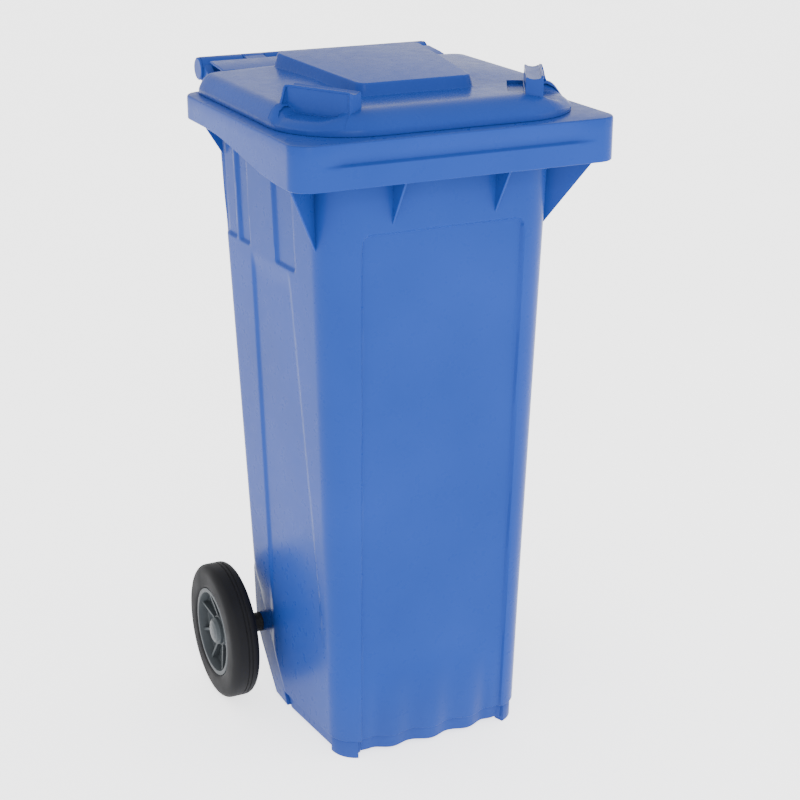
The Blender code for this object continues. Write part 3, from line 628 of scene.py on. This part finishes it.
def rim_ring(height, inset=0.0, groove=0.0):
    """The rim's outline at a height or a height function, with the front groove pushed in."""
    ring = outline(
        RIM_HALF - inset, RIM_HALF - inset, behind(inset), behind(RIM_DEPTH - inset),
        RIM_CORNER - inset, RIM_CORNER - inset, STEPS)
    points = []
    for x, y in ring:
        z = height(y) if callable(height) else height
        front = (1 - ease(*GROOVE_FADE_X, abs(x))) * (1 - ease(*GROOVE_FADE_BACK, y - FRONT_Y))
        points.append((x, y + groove * front, z))
    return points


def tub_rows():
    """Heights of the tub's rings: even steps, closer where the relief has an edge."""
    rows = {BASE_Z + ROW_STEP * step for step in range(1, ROW_COUNT)}
    for low, high in FINE_ROWS:
        count = int((high - low) / FINE_STEP)
        rows |= {low + FINE_STEP * step for step in range(count + 1)}
    rows = sorted(row for row in rows if row < RIM_TOP - SKIRT - 0.002)
    kept = [rows[0]]
    for row in rows[1:]:
        if row - kept[-1] > ROW_GAP:
            kept.append(row)
    return kept


def body_shell():
    """One skin from under the floor up the outside, round the rim and down the inside."""
    under = RIM_TOP - SKIRT
    band = BAND_INSET + WALL
    rings = [
        tub_ring(FLOOR_BOTTOM, band),
        tub_ring(BAND_BOTTOM, band),
        tub_ring(BAND_BOTTOM, BAND_INSET + 0.0008),
        tub_ring(BAND_BOTTOM + 0.0008, BAND_INSET),
        tub_ring(BASE_Z - 0.003, BAND_INSET),
        tub_ring(BASE_Z - 0.001, 0.0008),
        tub_ring(BASE_Z, 0.0)]
    rings += [tub_ring(z) for z in tub_rows()]
    rings += [
        tub_ring(under, 0.0, relief=False),
        rim_ring(under, SKIRT, 0.0015),
        rim_ring(GROOVE_Z + 0.001, SKIRT, GROOVE_DEPTH),
        rim_ring(GROOVE_Z - 0.004, SKIRT),
        rim_ring(skirt_bottom, SKIRT),
        rim_ring(skirt_bottom, SKIRT - 0.0008),
        rim_ring(skirt_bottom, 0.0008),
        rim_ring(lambda y: skirt_bottom(y) + 0.0008, 0.0),
        rim_ring(lambda y: max(skirt_bottom(y) + 0.0016, GROOVE_Z - 0.0062), 0.0),
        rim_ring(GROOVE_Z - 0.0030, 0.0, 0.0002),
        rim_ring(GROOVE_Z - 0.0022, 0.0, 0.0010),
        rim_ring(GROOVE_Z - 0.0008, 0.0, GROOVE_DEPTH - 0.0012),
        rim_ring(GROOVE_Z, 0.0, GROOVE_DEPTH - 0.0002),
        rim_ring(GROOVE_Z + 0.0010, 0.0, GROOVE_DEPTH),
        rim_ring(GROOVE_Z + 0.0090, 0.0, GROOVE_DEPTH * 0.66),
        rim_ring(RIM_TOP - 0.0030, 0.0, 0.0002),
        rim_ring(RIM_TOP - 0.0010, 0.0007),
        rim_ring(RIM_TOP - 0.0002, 0.0018),
        rim_ring(RIM_TOP, 0.0030),
        tub_ring(RIM_TOP, WALL - 0.002, 0.004, relief=False),
        tub_ring(RIM_TOP - 0.0015, WALL, 0.006, relief=False)]
    rings += [tub_ring(z, WALL, FRONT_WALL, relief=False) for z in INNER_ROWS]
    rings += [
        tub_ring(BASE_Z + 0.012, WALL, FRONT_WALL, relief=False),
        tub_ring(BASE_Z - 0.002, band, band + 0.007, relief=False),
        tub_ring(FLOOR_TOP, band + WALL, relief=False)]
    builder = bmesh.new()
    add_loft(builder, rings)
    return builder


def add_side_prism(builder, profile, low_x, high_x):
    """Add a slab across X from a side profile of (distance behind the front, height)."""
    base = [(low_x, behind(back), z) for back, z in profile]
    add_prism(builder, base, (high_x - low_x, 0, 0))


def rim_ribs():
    """Thin ribs between the tub and the underside of the rim."""
    builder = bmesh.new()
    top = RIM_TOP - 0.002
    front_profile = [(0.0530, 0.766), (0.0032, 0.8465), (0.0032, 0.8565), (0.0072, GROOVE_Z), (0.0040, top),
                     (0.0500, top)]
    start = Vector((0.1587, behind(0.0921)))
    way = Vector((0.733, -0.680))
    across = Vector((0.680, 0.733)) * RIM_RIB
    corner_profile = [(0.0022, 0.731), (0.0835, 0.8400), (0.0835, top), (0.0078, top)]
    rear_profile = [(0.1798, 0.806), (0.2200, 0.8710), (0.2200, top), (0.1822, top)]
    for side in (-1, 1):
        middle = side * 0.072
        add_side_prism(builder, front_profile, middle - RIM_RIB / 2, middle + RIM_RIB / 2)
        base = []
        for along, z in corner_profile:
            place = start + way * along - across / 2
            base.append((side * place.x, place.y, z))
        add_prism(builder, base, (side * across.x, across.y, 0))
        base = [(side * x, behind(0.364), z) for x, z in rear_profile]
        add_prism(builder, base, (0, RIM_RIB, 0))
    return builder


def axle_webs():
    """Upright webs of the axle bay that carry the axle."""
    heights = (0.009, 0.026, 0.034, BAY_TOP, BAY_TOP + 0.030)
    back_edge = [(rear_wall(BAY_TOP) + 0.001, BAY_TOP), (0.360, 0.128), (0.357, 0.100), (0.349, 0.082),
                 (0.337, 0.066), (0.284, heights[0])]
    builder = bmesh.new()
    for (low, high), roots in WEBS:
        front_edge = [(rear_wall(z) - root, z) for z, root in zip(heights, roots)]
        for side in (-1, 1):
            add_side_prism(builder, back_edge + front_edge, side * low, side * high)
    return builder


def front_feet():
    """Curved feet under the two front corners."""
    builder = bmesh.new()
    centre = (TUB_FRONT_HALF[0] - FOOT_RADIUS, behind(TUB_FRONT_BACK[0] + FOOT_RADIUS))
    section = [(0.024, 0.0010), (0.0250, 0.0), (0.0386, 0.0), (0.0396, 0.0012), (0.0399, 0.0255),
               (0.0392, 0.0268), (0.024, 0.0268)]
    for side in (-1, 1):
        rings = []
        for step in range(FOOT_STEPS + 1):
            turn = math.radians(mix(FOOT_TURN, step / FOOT_STEPS))
            ring = []
            for radius, z in section:
                x = side * (centre[0] + radius * math.cos(turn))
                ring.append((x, centre[1] + radius * math.sin(turn), z))
            rings.append(ring)
        add_loft(builder, rings)
    return builder


def handle():
    """Round barrels of the handle behind the rim."""
    builder = bmesh.new()
    outer_start = KNUCKLE[1] + KNUCKLE_GAP
    grip_end = KNUCKLE[0] - KNUCKLE_GAP
    spans = [(outer_start, BARREL_END), (-BARREL_END, -outer_start), (-grip_end, grip_end)]
    add_rods(builder, spans, BARREL_RADIUS, (HINGE.y, HINGE.z))
    return builder


def handle_arms():
    """Flat arms from the rim's rear to the barrels."""
    builder = bmesh.new()
    profile = [(0.4018, 0.8580), (0.4018, 0.8850), (0.4650, 0.9195), (0.4740, 0.8940)]
    for place in (BARREL_END - ARM - ARM_END, KNUCKLE[1] + ARM_SPACE, KNUCKLE[0] - ARM - ARM_SPACE):
        add_side_prism(builder, profile, place, place + ARM)
        add_side_prism(builder, profile, -place - ARM, -place)
    return builder


def build_body():
    make_piece("body_shell", body_shell(), "base", BODY_PLASTIC, replaces=("bin_body",))
    make_piece("body_ribs", rim_ribs(), "base", BODY_PLASTIC, bevel=0.0006)
    make_piece("body_axle_webs", axle_webs(), "base", BODY_PLASTIC, bevel=0.0008)
    make_piece("body_feet", front_feet(), "base", BODY_PLASTIC)
    make_piece("body_handle", handle(), "base", BODY_PLASTIC)
    make_piece("body_handle_arms", handle_arms(), "base", BODY_PLASTIC, bevel=0.0010)


# ---------------------------------------------------------------- lid

def lid_ring(row, shell=0.0):
    """The lid's outline for a row of (height, side inset, front inset), moved in by a shell."""
    z, side_inset, front_inset = row
    height = z if z == LID_BOTTOM else z - shell
    side_inset += shell
    front_inset += shell
    ring = outline(
        LID_HALF - side_inset, LID_HALF - side_inset, behind(LID_FRONT + front_inset),
        behind(LID_REAR - side_inset), LID_FRONT_RADIUS - side_inset, LID_REAR_RADIUS - side_inset / 2,
        LID_STEPS)
    return [(x, y, height) for x, y in ring]


def plateau_ring(spread, height):
    """The raised plateau's outline, spread outwards, at a height function."""
    ring = outline(
        PLATEAU_HALF[0] + spread, PLATEAU_HALF[1] + spread, behind(PLATEAU_FRONT) - spread,
        behind(PLATEAU_REAR) + spread, PLATEAU_RADIUS + max(spread, -0.006), PLATEAU_RADIUS, LID_STEPS)
    return [(x, y, height(y)) for x, y in ring]


def plateau_top(y):
    return mix(PLATEAU_Z, (y - behind(PLATEAU_FRONT)) / (PLATEAU_REAR - PLATEAU_FRONT))


def foot_z(y):
    """The lid's top round the plateau is low in front of it and rises along its sides."""
    return mix(FLOOR_Z, ease(PLATEAU_FRONT, PLATEAU_FRONT + 0.12, y - FRONT_Y))


def between_rings(outer, inner, share):
    """A ring part of the way from the outer to the inner ring."""
    return [tuple(Vector(low).lerp(Vector(high), share)) for low, high in zip(outer, inner)]


def lid_shell():
    """The lid's top skin with its plateau, and the hollow under it."""
    shell = LID_SHELL
    crest = lid_ring(LID_ROWS[-1])
    foot = plateau_ring(0.0065, foot_z)
    outer = [lid_ring(row) for row in LID_ROWS]
    outer += [between_rings(crest, foot, share) for share in (0.2, 0.4, 0.6, 0.8)]
    outer += [
        foot,
        plateau_ring(0.0045, lambda y: foot_z(y) + 0.0004),
        plateau_ring(0.0030, lambda y: foot_z(y) + 0.0020),
        plateau_ring(0.0006, lambda y: plateau_top(y) - 0.0026),
        plateau_ring(0.0000, lambda y: plateau_top(y) - 0.0010),
        plateau_ring(-0.0009, lambda y: plateau_top(y) - 0.0002),
        plateau_ring(-0.0024, plateau_top)]
    inner = [
        plateau_ring(-0.0024 - shell, lambda y: plateau_top(y) - shell),
        plateau_ring(0.0035, lambda y: foot_z(y) - shell)]
    inner += [lid_ring(LID_ROWS[index], shell) for index in (8, 6, 4, 2, 0)]
    builder = bmesh.new()
    add_loft(builder, list(reversed(outer[1:])) + [outer[0]] + list(reversed(inner)))
    return builder


def grip_along():
    return (GRIP_FRONT - GRIP_REAR).normalized()


def grip_place(along, outward):
    """A place in plan at a distance along the grip line and a distance outwards from it."""
    way = grip_along()
    return GRIP_REAR + way * along + Vector((-way.y, way.x)) * outward


def grip_box(along, outward):
    return [grip_place(along[0], outward[0]), grip_place(along[1], outward[0]),
            grip_place(along[1], outward[1]), grip_place(along[0], outward[1])]


def add_column(builder, plan, low, high, side):
    base = [(side * place.x, behind(place.y), low) for place in plan]
    add_prism(builder, base, (0, 0, high - low))


def end_angle(start, way, radius):
    """Angle around the lid's corner where a line from a grip's end meets a radius."""
    centre = Vector((LID_HALF - LID_FRONT_RADIUS, LID_FRONT + LID_FRONT_RADIUS))
    offset = start - centre
    along = offset.dot(way)
    place = offset + way * (math.sqrt(along ** 2 - offset.length_squared + radius ** 2) - along)
    return math.atan2(place.y, place.x)


def scoop_grid(rows, back, spare):
    """Rows of (x, distance, height) over a scoop's floor, from the lid's edge in to the grip line."""
    centre = Vector((LID_HALF - LID_FRONT_RADIUS, LID_FRONT + LID_FRONT_RADIUS))
    length = (GRIP_FRONT - GRIP_REAR).length
    rear = grip_place(-spare, -spare)
    front = grip_place(length + spare, -spare)
    grid = []
    for inset, floor, rear_end, front_end in (*rows, (None, *back)):
        row = []
        for step in range(SCOOP_STEPS + 1):
            share = step / SCOOP_STEPS
            if inset is None:
                place = rear + (front - rear) * share
            else:
                radius = LID_FRONT_RADIUS - inset
                low = end_angle(rear, SCOOP_REAR_WAY, radius)
                high = end_angle(front, SCOOP_FRONT_WAY, radius)
                turn = low + (high - low) * share
                place = centre + Vector((math.cos(turn), math.sin(turn))) * radius
            fall = ease(0.0, SCOOP_FADE[0], share)
            climb = ease(SCOOP_FADE[1], 1.0, share)
            height = floor + (rear_end - floor) * (1 - fall) + (front_end - floor) * climb
            row.append((place.x, place.y, height))
        grid.append(row)
    return grid


def add_block(builder, low, high, side):
    """Add the solid between two grids of the same plan."""
    layers = []
    for grid in (low, high):
        layers.append([[builder.verts.new((side * x, behind(y), z)) for x, y, z in row] for row in grid])
    rows, columns = len(low), len(low[0])
    for layer in layers:
        for i in range(rows - 1):
            for j in range(columns - 1):
                builder.faces.new((layer[i][j], layer[i + 1][j], layer[i + 1][j + 1], layer[i][j + 1]))
    border = [(0, j) for j in range(columns)] + [(i, columns - 1) for i in range(1, rows)]
    border += [(rows - 1, j) for j in range(columns - 2, -1, -1)] + [(i, 0) for i in range(rows - 2, 0, -1)]
    for (i, j), (k, m) in zip(border, border[1:] + border[:1]):
        builder.faces.new((layers[0][i][j], layers[0][k][m], layers[1][k][m], layers[1][i][j]))


def lifted(grid, change):
    return [[(x, y, change(z)) for x, y, z in row] for row in grid]


def add_return_wall(builder, start, way, thick_way, profile, side):
    """Add the wall that closes a scoop at its rear end."""
    base = []
    for distance, z in profile:
        place = start + way * distance - thick_way * RETURN_OVERLAP
        base.append((side * place.x, behind(place.y), z))
    add_prism(builder, base, (side * thick_way.x * RETURN_WALL, thick_way.y * RETURN_WALL, 0))


def add_ridge(builder, length, side):
    """Add a ridge whose top is a shallow channel between two rounded edges."""
    profile = [(0.001, RIDGE_BOTTOM), (0.001, RIDGE_TOP - 0.0016), (0.0004, RIDGE_TOP - 0.0004),
               (-0.0008, RIDGE_TOP), (-0.0022, RIDGE_TOP - 0.0004), (-0.0050, RIDGE_TOP - 0.0019),
               (-0.0105, RIDGE_TOP - 0.0026), (-0.0160, RIDGE_TOP - 0.0019), (-0.0190, RIDGE_TOP - 0.0004),
               (-0.0202, RIDGE_TOP), (-0.0210, RIDGE_TOP - 0.0005), (-0.0214, RIDGE_TOP - 0.0018),
               (-0.0222, RIDGE_BOTTOM)]
    rings = []
    for along in (-RIDGE_END, length + RIDGE_END):
        ring = []
        for outward, z in profile:
            place = grip_place(along, outward)
            ring.append((side * place.x, behind(place.y), z))
        rings.append(ring)
    add_loft(builder, rings)


def grip_solids():
    """Everything the grips add to the lid: scoop floors, ridges, end walls and trays."""
    builder = bmesh.new()
    length = (GRIP_FRONT - GRIP_REAR).length
    below, above = SCOOP_PLATE
    plate_rows = [(max(inset, PLATE_INSET), floor, rear_end - PLATE_SINK, front_end - PLATE_SINK)
                  for inset, floor, rear_end, front_end in SCOOP_ROWS[1:]]
    floor, rear_end, front_end = SCOOP_BACK
    plate = scoop_grid(plate_rows, (floor, rear_end - PLATE_SINK, front_end - PLATE_SINK), GRIP_WALL)
    for side in (-1, 1):
        add_block(builder, lifted(plate, lambda z: z - below), lifted(plate, lambda z: z + above), side)
        add_ridge(builder, length, side)
        rear_thick = Vector((-SCOOP_REAR_WAY.y, SCOOP_REAR_WAY.x))
        add_return_wall(builder, GRIP_REAR, SCOOP_REAR_WAY, rear_thick, SCOOP_REAR_RETURN, side)
        tray = grip_box((RECESS_LENGTH[0] - TRAY, RECESS_LENGTH[1] + TRAY),
                        (-RECESS_WIDTH[0] + 0.001, -RECESS_WIDTH[1] - TRAY))
        add_column(builder, tray, RECESS_FLOOR - TRAY, RECESS_FLOOR + 0.0035, side)
    return builder


def grip_hollows():
    """Everything the grips cut from the lid: the scoops, the recesses and the hollow ridges."""
    builder = bmesh.new()
    length = (GRIP_FRONT - GRIP_REAR).length
    scoop = scoop_grid(SCOOP_ROWS, SCOOP_BACK, 0.0)
    recess = grip_box(RECESS_LENGTH, (-RECESS_WIDTH[0], -RECESS_WIDTH[1]))
    hollow = grip_box((RIDGE_END, length - RIDGE_END), (-GRIP_WALL, -RIDGE_WIDTH + GRIP_WALL + 0.001))
    for side in (-1, 1):
        add_block(builder, scoop, lifted(scoop, lambda z: RIDGE_TOP + CLEARANCE), side)
        add_column(builder, recess, RECESS_FLOOR, RIDGE_TOP + CLEARANCE, side)
        add_column(builder, hollow, LID_BOTTOM - 0.01, RIDGE_TOP - GRIP_WALL, side)
    return builder


def grip_beads():
    """Rounded beads round the open edges of both scoops and along the ridges."""
    builder = bmesh.new()
    length = (GRIP_FRONT - GRIP_REAR).length
    down_rear = ((0.0098, 0.9085), (0.0080, 0.9130), (0.0060, 0.9180), (0.0045, 0.9225), (0.0030, 0.9285),
                 (0.0015, 0.9330), (0.0006, 0.9352))
    corner_end = ((0.0020, 0.9359), (0.0006, 0.9352), (0.0002, 0.9338), (0.0, 0.9310), (0.0, 0.9140))
    for side in (-1, 1):
        path = []
        for distance, z in down_rear:
            place = GRIP_REAR + SCOOP_REAR_WAY * distance
            path.append(Vector((side * place.x, behind(place.y), z)))
        for along in (0.003, length * 0.25, length * 0.5, length * 0.75, length - 0.006):
            place = grip_place(along, -0.0008)
            path.append(Vector((side * place.x, behind(place.y), RIDGE_TOP - 0.0002)))
        for sink, z in corner_end:
            place = grip_place(length - sink, -0.0006)
            path.append(Vector((side * place.x, behind(place.y), z)))
        add_tube(builder, path, BEAD)
    return builder


def lid_knuckles():
    """Round knuckles of the lid between the body's barrels."""
    builder = bmesh.new()
    low, high = KNUCKLE
    add_rods(builder, [(low, high), (-high, -low)], BARREL_RADIUS, (HINGE.y, HINGE.z))
    return builder


def lid_knuckle_arms():
    """Arms from the lid's rear edge to its knuckles."""
    profile = [(0.388, 0.8905), (0.388, 0.9105), (0.462, 0.9205), (0.470, 0.8935), (0.452, 0.8905)]
    builder = bmesh.new()
    for side in (-1, 1):
        add_side_prism(builder, profile, side * (KNUCKLE[0] + ARM_END), side * (KNUCKLE[1] - ARM_END))
    return builder


def rear_deck():
    """Thin deck of the lid that runs back to the handle tube."""
    profile = [(0.386, 0.9150), (0.400, 0.9172), (0.4345, 0.9203), (0.4385, 0.9199), (0.4395, 0.9186),
               (0.4385, 0.9174), (0.4345, 0.9170), (0.400, 0.9138), (0.386, 0.9120)]
    builder = bmesh.new()
    add_side_prism(builder, profile, -DECK_HALF, DECK_HALF)
    return builder


def build_lid():
    lid = make_piece("lid_shell", lid_shell(), "lid", LID_PLASTIC, replaces=("lid",))
    tools = [
        combine(lid, "grip_solids", grip_solids(), "UNION"),
        combine(lid, "grip_hollows", grip_hollows(), "DIFFERENCE")]
    settle(lid, tools)
    make_piece("lid_grip_beads", grip_beads(), "lid", LID_PLASTIC, sharp=60)
    make_piece("lid_rear_deck", rear_deck(), "lid", LID_PLASTIC, bevel=0.0010)
    make_piece("lid_knuckles", lid_knuckles(), "lid", LID_PLASTIC)
    make_piece("lid_knuckle_arms", lid_knuckle_arms(), "lid", LID_PLASTIC, bevel=0.0010)


# ---------------------------------------------------------------- wheels

def tyre_profile():
    """Tyre section with round shoulders and two grooves round its tread."""
    low, high = TYRE_EDGES
    wide, tall = TYRE_SHOULDER
    flank = WHEEL_RADIUS - tall
    seat = TYRE_SEAT
    turns = [math.radians(90 * step / SHOULDER_STEPS) for step in range(SHOULDER_STEPS + 1)]
    points = [(low + 0.003, seat), (low + 0.001, seat + 0.002), (low, seat + 0.006)]
    for turn in reversed(turns):
        points.append((low + wide * (1 - math.sin(turn)), flank + tall * math.cos(turn)))
    for start in TYRE_GROOVES:
        points += [(start, WHEEL_RADIUS), (start + 0.0004, WHEEL_RADIUS - GROOVE_DIP),
                   (start + 0.0014, WHEEL_RADIUS - GROOVE_DIP), (start + 0.0018, WHEEL_RADIUS)]
    for turn in turns:
        points.append((high - wide * (1 - math.sin(turn)), flank + tall * math.cos(turn)))
    points += [(high, seat + 0.006), (high - 0.001, seat + 0.002), (high - 0.003, seat)]
    return points


def hub_profile():
    """Hub section of (x, radius): boss, dish and rim."""
    return [
        (0.1921, HUB_BORE), (0.1921, 0.021), (0.1931, 0.022), (0.206, 0.024), (0.206, 0.057), (0.196, 0.058),
        (0.196, 0.0655), (0.2315, 0.0655), (0.2322, 0.0652), (0.2325, 0.0645), (0.2325, 0.0600),
        (0.2320, 0.0592), (0.2300, 0.0586), (0.2190, 0.0570), (0.2165, 0.0545), (0.2150, 0.0260),
        (0.2156, 0.0245), (0.2200, 0.0228), (0.2215, 0.0220), (0.2220, 0.0210), (0.2220, HUB_BORE)]


def hub_spokes(side):
    """Radial ribs in the dish of the hub."""
    builder = bmesh.new()
    corners = [(0.208, 0.019), (0.2205, 0.019), (0.2205, 0.024), (0.2275, 0.0595), (0.208, 0.0595)]
    for spoke in range(HUB_SPOKES):
        spin = Matrix.Rotation(math.tau * (spoke + 0.5) / HUB_SPOKES, 3, "X")
        base = [spin @ Vector((side * x, -HUB_SPOKE_HALF, radius)) + WHEEL_CENTRE for x, radius in corners]
        add_prism(builder, base, spin @ Vector((0, 2 * HUB_SPOKE_HALF, 0)))
    return builder


def build_wheel(name, side):
    body = "wheel_" + name
    centre = (WHEEL_CENTRE.y, WHEEL_CENTRE.z)
    tyre = bmesh.new()
    add_turned_ring(tyre, [(side * x, radius) for x, radius in tyre_profile()], WHEEL_STEPS, centre)
    make_piece("tyre_ring_" + name, tyre, body, RUBBER, replaces=("tyre_" + name,))
    hub = bmesh.new()
    add_turned_ring(hub, [(side * x, radius) for x, radius in hub_profile()], WHEEL_STEPS, centre)
    make_piece("hub_disc_" + name, hub, body, HUB_PLASTIC, replaces=("wheel_hub_" + name,))
    make_piece("hub_ribs_" + name, hub_spokes(side), body, HUB_PLASTIC, bevel=0.0005)


def dress_small_parts():
    """Better finishes for the CAD nodes whose own shape is right."""
    finishes = {"axle": STEEL}
    for name in ("left", "right"):
        finishes["axle_sleeve_" + name] = BLACK_PLASTIC
        finishes["thrust_washer_" + name] = BLACK_PLASTIC
        finishes["push_nut_" + name] = STEEL
        finishes["hub_cap_" + name] = CAP_PLASTIC
        finishes["hinge_pin_" + name] = PIN_PLASTIC
    for name, finish in finishes.items():
        for slot in NODES[name].material_slots:
            slot.material = finish


# ---------------------------------------------------------------- stage

def build_stage():
    builder = bmesh.new()
    reach = FLOOR_REACH
    corners = [(-reach, -reach, 0.0), (reach, -reach, 0.0), (reach, reach, 0.0), (-reach, reach, 0.0)]
    builder.faces.new([builder.verts.new(corner) for corner in corners])
    mesh = bpy.data.meshes.new("floor")
    builder.to_mesh(mesh)
    builder.free()
    mesh.materials.append(paint_floor())
    floor = bpy.data.objects.new("floor", mesh)
    bpy.context.scene.collection.objects.link(floor)


def add_area(name, place, target, size, power):
    """Add a soft rectangular light that faces a target."""
    light = bpy.data.lights.new(name, "AREA")
    light.shape = "RECTANGLE"
    light.size, light.size_y = size
    light.energy = power
    lamp = bpy.data.objects.new(name, light)
    lamp.location = place
    lamp.rotation_euler = (Vector(target) - Vector(place)).to_track_quat("-Z", "Y").to_euler()
    bpy.context.scene.collection.objects.link(lamp)


def build_light():
    world = bpy.data.worlds.new("studio")
    world.use_nodes = True
    background = world.node_tree.nodes["Background"]
    background.inputs["Color"].default_value = (1.0, 1.0, 1.0, 1.0)
    background.inputs["Strength"].default_value = WORLD_STRENGTH
    bpy.context.scene.world = world
    for name, place, target, size, power in LAMPS:
        add_area(name, place, target, size, power)


def build_camera():
    """Long lens, a little above the rim, from the front left."""
    camera = bpy.data.cameras.new("view")
    camera.sensor_width = SENSOR_WIDTH
    camera.lens = LENS
    eye = bpy.data.objects.new("view", camera)
    eye.location = EYE
    eye.rotation_euler = LOOK.to_track_quat("-Z", "Y").to_euler()
    bpy.context.scene.collection.objects.link(eye)
    bpy.context.scene.camera = eye


build_body()
build_lid()
build_wheel("left", -1)
build_wheel("right", 1)
dress_small_parts()
build_stage()
build_light()
build_camera()
